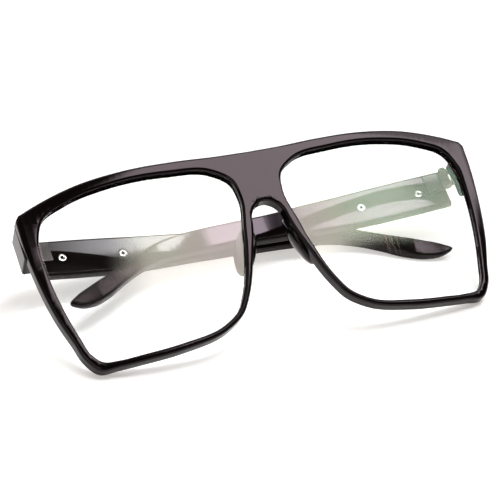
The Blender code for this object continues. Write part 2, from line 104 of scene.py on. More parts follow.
def rangeNode(nodes, links, source, low, high):
    span = nodes.new("ShaderNodeMapRange")
    span.inputs["To Min"].default_value = low
    span.inputs["To Max"].default_value = high
    links.new(source, span.inputs["Value"])
    return span.outputs["Result"]


def blendNode(nodes, links, source, first, second):
    blend = nodes.new("ShaderNodeMix")
    blend.data_type = "RGBA"
    blend.inputs["A"].default_value = (*first, 1)
    blend.inputs["B"].default_value = (*second, 1)
    links.new(source, blend.inputs["Factor"])
    return blend.outputs["Result"]


def bumpNode(nodes, links, source, depth):
    bump = nodes.new("ShaderNodeBump")
    bump.inputs["Strength"].default_value = 1
    bump.inputs["Distance"].default_value = depth
    links.new(source, bump.inputs["Height"])
    return bump


# each grain: its scale, its detail and its stretch along x, y and z
blackLook = {
    "deep": (0.0014, 0.0010, 0.0012),
    "warm": (0.0048, 0.0030, 0.0026),
    "toneGrain": (90, 3, (1, 1, 1)),
    "sheen": (1.0, 0.82, 0.88),  # the mauve cast of its reflections
    "roughness": (0.03, 0.05),
    "rubbedGrain": (420, 5, (1, 1, 1)),
    "ior": 1.30,
    "wave": 0.000004,  # how uneven the hand polish is
    "waveGrain": (70, 1, (1, 1, 1)),
    "scratch": 0.0000001,
    "scratchGrain": (900, 4, (1, 12, 12)),
}


def makeBlackPlastic():
    made, nodes, links, shader = newMaterial("polishedBlack")
    coords = nodes.new("ShaderNodeTexCoord")
    tone, rubbed, wave, scratch = (
        noiseNode(nodes, links, coords, *blackLook[grain])
        for grain in ("toneGrain", "rubbedGrain", "waveGrain", "scratchGrain")
    )
    links.new(
        blendNode(nodes, links, tone, blackLook["deep"], blackLook["warm"]),
        shader.inputs["Base Color"],
    )
    links.new(rangeNode(nodes, links, rubbed, *blackLook["roughness"]), shader.inputs["Roughness"])
    shader.inputs["IOR"].default_value = blackLook["ior"]
    shader.inputs["Specular Tint"].default_value = (*blackLook["sheen"], 1)
    broad = bumpNode(nodes, links, wave, blackLook["wave"])
    fine = bumpNode(nodes, links, scratch, blackLook["scratch"])
    links.new(broad.outputs["Normal"], fine.inputs["Normal"])
    links.new(fine.outputs["Normal"], shader.inputs["Normal"])
    return made


lensLook = {
    "tint": (0.985, 0.992, 0.988),
    "ior": 1.36,
    "film": (590.0, 760.0),  # the hard coat's thickness in nanometres, which tints what it mirrors
    "filmGrain": (22, 1, (1, 1, 1)),
    "filmIor": 1.32,
    "roughness": (0.0, 0.012),
    "smearGrain": (60, 4, (1, 3, 1)),
    "shadow": (0.96, 0.97, 0.965),
}


def makeClearLens():
    made, nodes, links, shader = newMaterial("clearLens")
    coords = nodes.new("ShaderNodeTexCoord")
    shader.inputs["Base Color"].default_value = (*lensLook["tint"], 1)
    shader.inputs["Transmission Weight"].default_value = 1
    shader.inputs["IOR"].default_value = lensLook["ior"]
    shader.inputs["Thin Film IOR"].default_value = lensLook["filmIor"]
    coat = noiseNode(nodes, links, coords, *lensLook["filmGrain"])
    links.new(
        rangeNode(nodes, links, coat, *lensLook["film"]), shader.inputs["Thin Film Thickness"]
    )
    smear = noiseNode(nodes, links, coords, *lensLook["smearGrain"])
    links.new(rangeNode(nodes, links, smear, *lensLook["roughness"]), shader.inputs["Roughness"])
    # lamps shine straight through, as they do through a thin clear lens
    path = nodes.new("ShaderNodeLightPath")
    through = nodes.new("ShaderNodeBsdfTransparent")
    through.inputs["Color"].default_value = (*lensLook["shadow"], 1)
    mix = nodes.new("ShaderNodeMixShader")
    links.new(path.outputs["Is Shadow Ray"], mix.inputs["Fac"])
    links.new(shader.outputs["BSDF"], mix.inputs[1])
    links.new(through.outputs["BSDF"], mix.inputs[2])
    links.new(mix.outputs["Shader"], nodes["Material Output"].inputs["Surface"])
    return made


steelGrain = {"grain": (1500, 4, (1, 1, 8)), "depth": 0.000004}
rivetLook = {"bright": (0.80, 0.79, 0.77), "dull": (0.62, 0.61, 0.59), "roughness": (0.14, 0.30)}
hingeLook = {"bright": (0.12, 0.11, 0.11), "dull": (0.045, 0.042, 0.04), "roughness": (0.26, 0.46)}
# steel darkened as painted shade, for the inside of the rivets' bores
boreShadeLook = {"bright": (0.030, 0.028, 0.026), "dull": (0.012, 0.011, 0.010), "roughness": (0.5, 0.7)}


def makeSteel(name, look):
    made, nodes, links, shader = newMaterial(name)
    coords = nodes.new("ShaderNodeTexCoord")
    grain = noiseNode(nodes, links, coords, *steelGrain["grain"])
    links.new(
        blendNode(nodes, links, grain, look["bright"], look["dull"]), shader.inputs["Base Color"]
    )
    links.new(rangeNode(nodes, links, grain, *look["roughness"]), shader.inputs["Roughness"])
    shader.inputs["Metallic"].default_value = 1
    bump = bumpNode(nodes, links, grain, steelGrain["depth"])
    links.new(bump.outputs["Normal"], shader.inputs["Normal"])
    return made


blackPlastic = makeBlackPlastic()
clearLens = makeClearLens()
rivetSteel = makeSteel("rivetSteel", rivetLook)
hingeSteel = makeSteel("hingeSteel", hingeLook)
rivetBoreShade = makeSteel("rivetBoreShade", boreShadeLook)
print("materials made")

# Drawing outlines


def smoothLine(points, closed):
    # a smooth line through the points, in spanSteps bits each
    count = len(points)
    points = [Vector(p) for p in points]

    def at(i):
        return points[i % count] if closed else points[min(max(i, 0), count - 1)]

    def slope(i):
        before = (at(i) - at(i - 1)).length
        after = (at(i + 1) - at(i)).length
        if not before:
            return (at(i + 1) - at(i)) / after
        if not after:
            return (at(i) - at(i - 1)) / before
        back = (at(i) - at(i - 1)) / before
        ahead = (at(i + 1) - at(i)) / after
        return (back * after + ahead * before) / (before + after)

    line = []
    for i in range(count if closed else count - 1):
        span = (at(i + 1) - at(i)).length
        for step in range(spanSteps):
            t = step / spanSteps
            line.append(
                at(i) * (1 - t) ** 2 * (1 + 2 * t)
                + slope(i) * span * t * (1 - t) ** 2
                + at(i + 1) * t**2 * (3 - 2 * t)
                - slope(i + 1) * span * t**2 * (1 - t)
            )
    if not closed:
        line.append(points[-1])
    return line


def outward(loop, i):
    # points away from the inside of a clockwise loop
    along = (loop[(i + 1) % len(loop)] - loop[i - 1]).normalized()
    return Vector((-along.y, along.x))


def mitred(loop, i):
    # the same, lengthened at a corner so that both edges move by as much
    before = (loop[i] - loop[i - 1]).normalized()
    after = (loop[(i + 1) % len(loop)] - loop[i]).normalized()
    first = Vector((-before.y, before.x))
    second = Vector((-after.y, after.x))
    return (first + second) / max(1 + first.dot(second), mitreLimit)


def grown(loop, by):
    return [loop[i] + outward(loop, i) * by for i in range(len(loop))]


def rolledEdge(thickness, edge, steps, wall=()):
    # (inset, height) from the back face, round the edge and over the front face's rim
    half = thickness / 2
    turns = [math.radians(90) * i / steps for i in range(steps, -1, -1)]
    back = [(edge * (1 - math.cos(a)), -half + edge - edge * math.sin(a)) for a in turns]
    front = [(inset, -height) for inset, height in reversed(back)]
    return back + list(wall) + front


def sweptPlate(outlines):
    # a plate whose every outline is swept by its own profile, and whose two faces are filled
    bm = bmesh.new()
    home = bm.verts.layers.float_vector.new("home")
    away = bm.verts.layers.float_vector.new("away")
    faces = ([], [])
    for loop, profile in outlines:
        ring = []
        inset, height = profile[0]
        for i, place in enumerate(loop):
            out = mitred(loop, i)
            vert = bm.verts.new((place.x - out.x * inset, place.y - out.y * inset, height))
            vert[home] = (place.x, place.y, 0)
            vert[away] = (out.x, out.y, 0)
            ring.append(vert)
        edges = [bm.edges.new((a, b)) for a, b in zip(ring, ring[1:] + ring[:1])]
        faces[0].extend(edges)
        for inset, height in profile[1:]:
            made = bmesh.ops.extrude_edge_only(bm, edges=edges)["geom"]
            verts = {g for g in made if isinstance(g, bmesh.types.BMVert)}
            for vert in verts:
                vert.co = vert[home] - vert[away] * inset
                vert.co.z = height
            edges = [
                g
                for g in made
                if isinstance(g, bmesh.types.BMEdge) and g.verts[0] in verts and g.verts[1] in verts
            ]
        faces[1].extend(edges)
    for rim in faces:
        bmesh.ops.triangle_fill(bm, use_beauty=True, edges=rim)
    bmesh.ops.recalc_face_normals(bm, faces=bm.faces)
    return bm


def sliceAcross(bm, axis, low, high):
    for i in range(1, int((high - low) / sliceWidth) + 1):
        bmesh.ops.bisect_plane(
            bm,
            geom=bm.verts[:] + bm.edges[:] + bm.faces[:],
            dist=cutTolerance,
            plane_co=axis * (low + i * sliceWidth),
            plane_no=axis,
        )


def bevelledBox(low, high, edge=0, segments=0):
    bm = bmesh.new()
    bmesh.ops.create_cube(bm, size=1)
    bmesh.ops.scale(bm, vec=Vector(high) - Vector(low), verts=bm.verts)
    bmesh.ops.translate(bm, vec=(Vector(high) + Vector(low)) / 2, verts=bm.verts)
    if edge:
        bmesh.ops.bevel(
            bm,
            geom=bm.edges,
            offset=edge,
            affect="EDGES",
            segments=segments,
            profile=0.5,
            material=-1,
        )
    return bm


def turnedShape(profile, matrix, steps=roundSteps):
    # a profile of (radius, height), from the axis round to the axis, spun into a closed shape
    bm = bmesh.new()
    verts = [bm.verts.new((radius, 0, height)) for radius, height in profile]
    edges = [bm.edges.new(pair) for pair in zip(verts, verts[1:])]
    bmesh.ops.spin(
        bm,
        geom=verts + edges,
        cent=(0, 0, 0),
        axis=(0, 0, 1),
        angle=math.radians(360),
        steps=steps,
        use_merge=True,
    )
    bmesh.ops.remove_doubles(bm, verts=bm.verts, dist=mergeTolerance)
    bmesh.ops.recalc_face_normals(bm, faces=bm.faces)
    bmesh.ops.transform(bm, matrix=matrix, verts=bm.verts)
    return bm


def rod(radius, bottom, top, edge):
    # an upright pin with eased ends
    profile = (
        (0, bottom),
        (radius - edge, bottom),
        (radius, bottom + edge),
        (radius, top - edge),
        (radius - edge, top),
        (0, top),
    )
    return turnedShape(profile, Matrix(), rodSteps)


def looseMesh(bm):
    mesh = bpy.data.meshes.new("loose")
    bm.to_mesh(mesh)
    bm.free()
    return mesh


def joined(*shapes):
    bm = shapes[0]
    for shape in shapes[1:]:
        mesh = looseMesh(shape)
        bm.from_mesh(mesh)
        bpy.data.meshes.remove(mesh)
    return bm


def cutAway(bm, tools):
    # the shape without its tools, as a bmesh again
    target = bpy.data.objects.new("target", looseMesh(bm))
    bpy.context.scene.collection.objects.link(target)
    helpers = []
    for tool in tools:
        helper = bpy.data.objects.new("tool", looseMesh(tool))
        bpy.context.scene.collection.objects.link(helper)
        helpers.append(helper)
        change = target.modifiers.new("cut", "BOOLEAN")
        change.object = helper
        change.operation = "DIFFERENCE"
        change.solver = "EXACT"
    graph = bpy.context.evaluated_depsgraph_get()
    mesh = bpy.data.meshes.new_from_object(target.evaluated_get(graph))
    made = bmesh.new()
    made.from_mesh(mesh)
    for helper in [target, *helpers]:
        bpy.data.objects.remove(helper)
    return made


def placed(bm, side, matrix):
    # a shape drawn for the left side, mirrored where it is for the right, and put in its place
    if side < 0:
        bmesh.ops.scale(bm, vec=(-1, 1, 1), verts=bm.verts)
        bmesh.ops.reverse_faces(bm, faces=bm.faces)
    bmesh.ops.transform(bm, matrix=matrix, verts=bm.verts)
    return bm


def finishedPiece(name, bm, material, body, node, smooth=smoothBelow):
    mesh = bpy.data.meshes.new(name)
    bm.to_mesh(mesh)
    bm.free()
    mesh.materials.append(material)
    mesh.shade_smooth()
    mesh.set_sharp_from_angle(angle=math.radians(smooth))
    made = bpy.data.objects.new(name, mesh)
    bpy.context.scene.collection.objects.link(made)
    even = made.modifiers.new("evenShade", "WEIGHTED_NORMAL")
    even.keep_sharp = True
    even.weight = 100
    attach(made, body)
    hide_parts(node)
    return made


# Front

frontPlate = {
    "halfWidth": 0.0750,
    "thickness": 0.0046,
    "edge": 0.0009,
    "edgeSteps": 6,
    "wrapDepth": 0.0093,
    "wrapEase": 0.43,
    "bridge": 0.0144,
    "browRise": 0.0021,
    "browDepth": 0.0037,
    "cornerDrop": 0.0059,
    # share of the half width, and falls from the top as shares of browRise and of cornerDrop
    "brow": (
        (0, 1, 0),
        (0.14, 0.86, 0),
        (0.31, 0.36, 0),
        (0.54, 0, 0),
        (0.73, 0, 0.18),
        (0.90, 0, 0.72),
        (0.985, 0, 1.12),
    ),
    "flankTop": 1.4,
    "archDrop": 0.0180,
    "archHalfWidth": 0.0057,
    "archHeight": 0.0074,
    "archTurns": (0, 30, 60, 80, 90),
    "rimSideTop": 0.0051,
    "rimSide": 0.0038,
    "rimSideLow": 0.0026,
    "rimCorner": 0.0030,
    "rimBottom": 0.0022,
    "rimNoseCorner": 0.0019,
    "rimNose": 0.0028,
}

# the lens opening, as shares of its width from the nose and of its height from the top
lensOpening = {
    "width": 0.0627,
    "height": 0.0559,
    "drop": 0.0022,
    "firstSide": 7,
    "shape": (
        (0.000, 0.246),
        (0.020, 0.133),
        (0.102, 0.057),
        (0.311, 0.012),
        (0.598, 0.000),
        (0.827, 0.043),
        (0.952, 0.108),
        (0.999, 0.226),
        (1.000, 0.420),
        (0.967, 0.676),
        (0.933, 0.832),
        (0.906, 0.930),
        (0.862, 0.986),
        (0.790, 0.999),
        (0.679, 1.000),
        (0.478, 0.993),
        (0.262, 0.950),
        (0.176, 0.884),
        (0.127, 0.795),
        (0.062, 0.587),
        (0.026, 0.409),
    ),
}

lens = {
    "thickness": 0.0016,
    "setback": 0.0027,
    "overlap": 0.0007,
    "edge": 0.00025,
    "edgeSteps": 2,
    "gap": 0.0003,
    "smoothBelow": 50,
}

upright = Matrix.Rotation(math.radians(90), 4, "X")
sideways = Matrix.Rotation(math.radians(90), 4, "Y")
standing = Matrix(((0, 0, 1, 0), (1, 0, 0, 0), (0, 1, 0, 0), (0, 0, 0, 1)))
across = Vector((1, 0, 0))
along = Vector((0, 1, 0))


def openingOutline():
    nose = frontPlate["bridge"] / 2
    return [
        (nose + u * lensOpening["width"], -lensOpening["drop"] - v * lensOpening["height"])
        for u, v in lensOpening["shape"]
    ]


def halfFrontOutline():
    # from the top of the bridge, over the left end and round to the arch
    top = -lensOpening["drop"] + frontPlate["browDepth"]
    wide = frontPlate["halfWidth"]
    rise = frontPlate["browRise"]
    fall = frontPlate["cornerDrop"]
    brow = [(out * wide, top - near * rise - far * fall) for out, near, far in frontPlate["brow"]]
    loop = [Vector(p) for p in openingOutline()]
    low = frontPlate["rimSideLow"]
    nose = frontPlate["rimNoseCorner"]
    widths = (
        frontPlate["rimSideTop"],
        frontPlate["rimSide"],
        (frontPlate["rimSide"] + low) / 2,
        low,
        low,
        frontPlate["rimCorner"],
        *[frontPlate["rimBottom"]] * 3,
        *[nose] * 3,
        (nose + frontPlate["rimNose"]) / 2,
    )
    flank = [(wide, top - frontPlate["flankTop"] * fall)]
    for i, width in enumerate(widths, lensOpening["firstSide"]):
        flank.append(loop[i] + outward(loop, i) * width)
    half = frontPlate["archHalfWidth"]
    drop = frontPlate["archDrop"]
    tall = frontPlate["archHeight"]
    turns = [math.radians(a) for a in frontPlate["archTurns"]]
    arch = [(half * math.cos(a), -drop - tall * (1 - math.sin(a))) for a in turns]
    return smoothLine(brow, False) + smoothLine(flank + arch, False)


def wrap(x):
    share = (x / frontPlate["halfWidth"]) ** 2
    return frontPlate["wrapDepth"] * share * (1 + frontPlate["wrapEase"] * (1 - share))


def bentPlate(outlines, setback):
    bm = sweptPlate(outlines)
    sliceAcross(bm, across, -frontPlate["halfWidth"], frontPlate["halfWidth"])
    bmesh.ops.transform(bm, matrix=upright, verts=bm.verts)
    for vert in bm.verts:
        vert.co.y += setback + wrap(vert.co.x)
    return bm


nosePad = {
    "height": 0.0170,
    "depth": 0.0110,
    "thickness": 0.0042,
    "drop": 0.0310,
    "setback": 0.0066,
    "lean": math.radians(17),
    "flare": math.radians(22),
    "bands": 32,
}


def padShape(side):
    bm = bmesh.new()
    bmesh.ops.create_uvsphere(
        bm, u_segments=roundSteps, v_segments=nosePad["bands"], radius=0.5
    )
    size = (nosePad["thickness"], nosePad["depth"], nosePad["height"])
    bmesh.ops.scale(bm, vec=size, verts=bm.verts)
    lean = Matrix.Rotation(-nosePad["lean"], 4, "Y")
    flare = Matrix.Rotation(-nosePad["flare"], 4, "Z")
    drop = nosePad["drop"] - frontPlate["archDrop"] - frontPlate["archHeight"]
    out = frontPlate["archHalfWidth"] + frontPlate["rimNose"] / 2 + drop * math.tan(nosePad["lean"])
    place = Matrix.Translation((out, nosePad["setback"], -nosePad["drop"]))
    bmesh.ops.transform(bm, matrix=place @ lean @ flare, verts=bm.verts)
    return placed(bm, side, Matrix())


endPiece = {
    "inset": 0.0017,
    "height": 0.0126,
    "length": 0.0095,
    "edge": 0.0008,
    "edgeSteps": 6,
    "gap": 0.0004,
}
temple = {
    "length": 0.1340,
    "thickness": 0.0034,
    "edge": 0.0009,
    "edgeSteps": 6,
    "butt": 0.0127,
    "drop": 0.0206,
    "bowStart": 0.0600,
    "bowDepth": 0.0175,
    "facetLength": 0.0110,
    "facetDepth": 0.0010,
    # share of the length, half height as a share of the butt, and drop as a share of the tip's
    "shape": (
        (0.000, 0.500, 0.000),
        (0.134, 0.508, 0.027),
        (0.260, 0.480, 0.044),
        (0.418, 0.394, 0.024),
        (0.550, 0.340, 0.022),
        (0.672, 0.305, 0.080),
        (0.750, 0.262, 0.201),
        (0.806, 0.222, 0.376),
        (0.850, 0.230, 0.550),
        (0.900, 0.268, 0.765),
        (0.944, 0.248, 0.923),
        (0.978, 0.160, 1.010),
    ),
    "tipDrop": 1.06,
}
hinge = {
    "radius": 0.0014,
    "knuckle": 0.0020,
    "play": 0.0002,
    "finger": 0.0016,
    "rise": 0.0018,
    "leaf": 0.0008,
    "leafEdge": 0.00006,
    "leafEdgeSteps": 2,
    "leafHeight": 0.0064,
    "recess": 0.0005,
    "gap": 0.0003,
    "templeLeaf": 0.0066,
    "frontLeaf": 0.0068,
    "stud": 0.0006,
    "studLength": 0.0012,
    "studEdge": 0.00005,
    "studPlace": 0.62,  # share of the leaf's length
    "screw": 0.0006,
    "head": 0.0012,
    "headHeight": 0.0007,
    "headShape": ((0, 0), (0.6, 0.02), (0.82, 0.14), (1, 0.42)),  # shares of radius and height
    "slot": 0.0003,
    "slotDepth": 0.5,  # share of the head's height
    "easing": 0.00012,
}


def leafPocket(length):
    past = math.copysign(hinge["gap"], length)
    near, far = sorted((-past, length + past))
    inset = endPiece["inset"]
    half = hinge["leafHeight"] / 2 + hinge["gap"]
    return bevelledBox(
        (inset - hinge["radius"], near, hinge["rise"] - half),
        (inset + hinge["recess"], far, hinge["rise"] + half),
    )


def endShape(side):
    half = endPiece["height"] / 2
    block = bevelledBox(
        (endPiece["inset"], -endPiece["length"], -half),
        (endPiece["inset"] + temple["thickness"], -endPiece["gap"] / 2, half),
        endPiece["edge"],
        endPiece["edgeSteps"],
    )
    return placed(cutAway(block, [leafPocket(-hinge["frontLeaf"])]), side, seatMatrix(side))


def makeFront():
    opening = smoothLine(openingOutline(), True)
    half = halfFrontOutline()
    other = [Vector((-p.x, p.y)) for p in half[-2:0:-1]]
    mirrored = [Vector((-p.x, p.y)) for p in reversed(opening)]
    thick, edge, steps = (frontPlate[k] for k in ("thickness", "edge", "edgeSteps"))
    outer = rolledEdge(thick, edge, steps)
    middle = thick / 2 - lens["setback"]  # the groove that the lens sits in
    reach = lens["thickness"] / 2 + lens["gap"]
    depth = lens["overlap"] + lens["gap"]
    groove = (
        (0, middle - reach),
        (depth, middle - reach),
        (depth, middle + reach),
        (0, middle + reach),
    )
    inner = rolledEdge(thick, edge, steps, groove)
    bm = bentPlate(
        [(half + other, outer), (opening[::-1], inner), (mirrored[::-1], inner)], thick / 2
    )
    shapes = [bm]
    for side, _word in sides:
        shapes += [padShape(side), endShape(side)]
    bm = joined(*shapes)
    bmesh.ops.transform(bm, matrix=resting, verts=bm.verts)
    finishedPiece("frontShell", bm, blackPlastic, "front", "front_frame")
    for side, word in sides:
        rim = rolledEdge(lens["thickness"], lens["edge"], lens["edgeSteps"])
        shape = bentPlate([(grown(opening, lens["overlap"]), rim)], lens["setback"])
        finishedPiece(
            word + "LensPane",
            placed(shape, side, resting),
            clearLens,
            "front",
            word + "_lens",
            lens["smoothBelow"],
        )


makeFront()
print("front and lenses made")

# Hinges


def leafShape(length, knuckles):
    toward = math.copysign(1, length)
    root = (hinge["radius"] + hinge["gap"]) * toward
    low = hinge["rise"] - hinge["leafHeight"] / 2
    pitch = hinge["knuckle"] + hinge["play"]
    outline = [(length, low), (root, low)]
    for step in knuckles:
        middle = hinge["rise"] + step * pitch
        reach = hinge["finger"] / 2
        outline += [(root, middle - reach), (0, middle - reach)]
        outline += [(0, middle + reach), (root, middle + reach)]
    outline += [(root, low + hinge["leafHeight"]), (length, low + hinge["leafHeight"])]
    if toward > 0:
        outline.reverse()
    profile = rolledEdge(hinge["leaf"], hinge["leafEdge"], hinge["leafEdgeSteps"])
    bm = sweptPlate([([Vector(p) for p in outline], profile)])
    shift = endPiece["inset"] + hinge["recess"] - hinge["gap"] - hinge["leaf"] / 2
    bmesh.ops.transform(bm, matrix=Matrix.Translation((shift, 0, 0)) @ standing, verts=bm.verts)
    shapes = [bm]
    for step in knuckles:
        middle = hinge["rise"] + step * pitch
        half = hinge["knuckle"] / 2
        shapes.append(rod(hinge["radius"], middle - half, middle + half, hinge["easing"]))
    end = endPiece["inset"] + hinge["recess"] + hinge["studLength"]
    stud = rod(hinge["stud"], shift, end, hinge["studEdge"])
    place = Matrix.Translation((0, length * hinge["studPlace"], hinge["rise"]))
    bmesh.ops.transform(stud, matrix=place @ sideways, verts=stud.verts)
    return joined(*shapes, stud)


def screwShape():
    stack = 1.5 * hinge["knuckle"]  # half of the three knuckles
    under = hinge["rise"] + stack + 2 * hinge["play"]
    bottom = hinge["rise"] - stack - hinge["play"]
    wide, tall = hinge["head"], hinge["headHeight"]
    top = under + tall
    profile = [(wide * out, top - tall * down) for out, down in hinge["headShape"]]
    profile += [(wide, under), (hinge["screw"], under), (hinge["screw"], bottom), (0, bottom)]
    half = hinge["slot"] / 2
    past = 1.5 * wide  # clear of the head on both sides
    slot = bevelledBox((-past, -half, top - tall * hinge["slotDepth"]), (past, half, top + tall))
    return cutAway(turnedShape(profile, Matrix()), [slot])


# Temples


def templeOutline():
    top = []
    bottom = []
    for share, halfHeight, drop in temple["shape"]:
        y = max(share * temple["length"], endPiece["gap"] / 2)
        top.append((y, halfHeight * temple["butt"] - drop * temple["drop"]))
        bottom.append((y, -halfHeight * temple["butt"] - drop * temple["drop"]))
    tip = (temple["length"], -temple["tipDrop"] * temple["drop"])
    return smoothLine([*top, tip, *bottom[::-1]], False)


def bow(y):
    share = max(y - temple["bowStart"], 0) / (temple["length"] - temple["bowStart"])
    return temple["bowDepth"] * share**2


rivet = {
    "places": {"front": 0.0100, "rear": 0.0302},
    "shank": 0.0010,
    "ring": 0.0014,
    "ringHeight": 0.0004,
    "bore": 0.0005,
    "boreDepth": 0.0016,
    "boreShade": 1.08,  # how far the painted shade in the bore reaches, as a share of the bore
    "head": 0.0018,
    "dome": 0.0006,
    # shares of the radius and of the height: down the dome, and up the ring's two sides
    "domeShape": ((0, 0), (0.3, 0.07), (0.55, 0.25), (0.75, 0.50), (0.90, 0.76)),
    "ringOutside": ((1, 0.6), (0.93, 0.15), (0.8, 0)),
    "ringInside": ((1.4, 0), (1.1, 0.15), (1, 0.5)),
    "sink": 0.0005,
    "drop": 0.0003,
    "slope": math.radians(1.4),
}


def rivetMatrix(place):
    height = -rivet["drop"] - place * math.tan(rivet["slope"])
    return Matrix.Translation((endPiece["inset"], place, height)) @ sideways


def rivetHole(place):
    shank = rivet["shank"] + hinge["play"]
    ring = rivet["ring"] + hinge["play"]
    wide = rivet["head"] + hinge["play"]
    thick = temple["thickness"]
    profile = (
        (0, thick + hinge["gap"]),
        (wide, thick + hinge["gap"]),
        (wide, thick - rivet["sink"]),
        (shank, thick - rivet["sink"]),
        (shank, rivet["sink"]),
        (ring, rivet["sink"]),
        (ring, -hinge["gap"]),
        (0, -hinge["gap"]),
    )
    return turnedShape(profile, rivetMatrix(place))


def rivetShape(place):
    play = hinge["play"]
    head = temple["thickness"] - rivet["sink"] + play
    under = rivet["sink"] - play
    end = under - rivet["ringHeight"]
    crown = head + play + rivet["dome"]
    wide, shank, ring, bore = (rivet[k] for k in ("head", "shank", "ring", "bore"))
    tall, deep = rivet["ringHeight"], end + rivet["boreDepth"]
    profile = [(wide * out, crown - rivet["dome"] * down) for out, down in rivet["domeShape"]]
    profile += [(wide, head + play / 2), (wide, head), (shank, head), (shank, under), (ring, under)]
    profile += [(ring * out, end + tall * up) for out, up in rivet["ringOutside"]]
    profile += [(bore * out, end + tall * up) for out, up in rivet["ringInside"]]
    profile += [(bore, deep), (0, deep)]
    bm = turnedShape(profile, Matrix())
    for face in bm.faces:  # the bore takes the second material, steel darkened as painted shade in the hole
        middle = face.calc_center_median()
        inner = middle.z < temple["thickness"] / 2
        face.material_index = int(inner and middle.xy.length < bore * rivet["boreShade"])
    bmesh.ops.transform(bm, matrix=rivetMatrix(place), verts=bm.verts)
    return bm


def templeShape():
    profile = rolledEdge(temple["thickness"], temple["edge"], temple["edgeSteps"])
    bm = sweptPlate([(templeOutline(), profile)])
    bmesh.ops.transform(bm, matrix=standing, verts=bm.verts)
    sliceAcross(bm, along, temple["bowStart"], temple["length"])
    facet = temple["length"] - temple["facetLength"]
    sliceAcross(bm, along, facet - sliceWidth, facet + sliceWidth / 2)
    for vert in bm.verts:
        y = vert.co.y
        if y > facet and vert.co.x < 0:
            vert.co.x += temple["facetDepth"] * (y - facet) / temple["facetLength"]
        vert.co.x += endPiece["inset"] + temple["thickness"] / 2 - bow(y)
    holes = [rivetHole(place) for place in rivet["places"].values()]
    return cutAway(bm, [leafPocket(hinge["templeLeaf"]), *holes])


for side, word in sides:
    seat = resting @ seatMatrix(side)
    arm = resting @ armMatrix(side, word)
    body = word + "_arm"
    frontLeaf = joined(leafShape(-hinge["frontLeaf"], (-1, 1)))
    finishedPiece(
        word + "FrontLeaf",
        placed(frontLeaf, side, seat),
        hingeSteel,
        "front",
        word + "_front_hinge_leaf",
    )
    finishedPiece(
        word + "HingeScrew",
        placed(screwShape(), side, seat),
        hingeSteel,
        "front",
        word + "_hinge_screw",
    )
    finishedPiece(
        word + "TempleLeaf",
        placed(leafShape(hinge["templeLeaf"], (0,)), side, arm),
        hingeSteel,
        body,
        word + "_temple_hinge_leaf",
    )
    finishedPiece(
        word + "TempleArm",
        placed(templeShape(), side, arm),
        blackPlastic,
        body,
        word + "_temple",
    )
    for which, place in rivet["places"].items():
        made = finishedPiece(
            word + which.capitalize() + "Rivet",
            placed(rivetShape(place), side, arm),
            rivetSteel,
            body,
            f"{word}_{which}_rivet",
        )
        # the second material is painted shade inside the rivet's bore
        made.data.materials.append(rivetBoreShade)
    print(word, "side made")

# Table, light and camera

tableTop = {
    "size": 3,
    "colour": (0.85, 0.85, 0.85),
    "roughness": 0.9,
    "glow": 0.38,
    "glowColour": (1.0, 0.96, 0.90),
    "drop": 0.00006,  # clear of the pieces that rest on it
}


def makeTable():
    bm = bmesh.new()
    bmesh.ops.create_grid(bm, x_segments=1, y_segments=1, size=tableTop["size"])
    bmesh.ops.translate(bm, vec=(0, 0, -tableTop["drop"]), verts=bm.verts)
    mesh = looseMesh(bm)
    made = bpy.data.objects.new("tableTop", mesh)
    bpy.context.scene.collection.objects.link(made)
    material, nodes, links, shader = newMaterial("whiteTable")
    shader.inputs["Base Color"].default_value = (*tableTop["colour"], 1)
    shader.inputs["Roughness"].default_value = tableTop["roughness"]
    shader.inputs["Specular IOR Level"].default_value = 0.0
    # seen directly, in a mirror or through a lens, the table is as white as the photo's backdrop
    path = nodes.new("ShaderNodeLightPath")
    seen = path.outputs["Is Camera Ray"]
    for way in ("Is Glossy Ray", "Is Transmission Ray"):
        either = nodes.new("ShaderNodeMath")
        either.operation = "MAXIMUM"
        links.new(seen, either.inputs[0])
        links.new(path.outputs[way], either.inputs[1])
        seen = either.outputs["Value"]
    lift = nodes.new("ShaderNodeMath")
    lift.operation = "MULTIPLY"
    lift.inputs[1].default_value = tableTop["glow"]
    glow = nodes.new("ShaderNodeEmission")
    glow.inputs["Color"].default_value = (*tableTop["glowColour"], 1)
    add = nodes.new("ShaderNodeAddShader")
    links.new(seen, lift.inputs[0])
    links.new(lift.outputs["Value"], glow.inputs["Strength"])
    links.new(shader.outputs["BSDF"], add.inputs[0])
    links.new(glow.outputs["Emission"], add.inputs[1])
    links.new(add.outputs["Shader"], nodes["Material Output"].inputs["Surface"])
    mesh.materials.append(material)


frontPanel = {
    "from": (-0.9, -0.6, 0.75),
    "towards": (0, 0, 0.02),
    "distance": 1.2,
    "size": (0.8, 0.6),
    "watts": 3.0,
    "colour": (1.0, 1.0, 1.0),
}


def makePanel():
    lamp = bpy.data.lights.new("frontPanel", "AREA")
    lamp.shape = "RECTANGLE"
    lamp.size, lamp.size_y = frontPanel["size"]
    lamp.energy = frontPanel["watts"]
    lamp.color = frontPanel["colour"]
    made = bpy.data.objects.new("frontPanel", lamp)
    bpy.context.scene.collection.objects.link(made)
    back = Vector(frontPanel["from"]).normalized()
    made.location = back * frontPanel["distance"] + Vector(frontPanel["towards"])
    made.rotation_euler = back.to_track_quat("Z", "Y").to_euler()


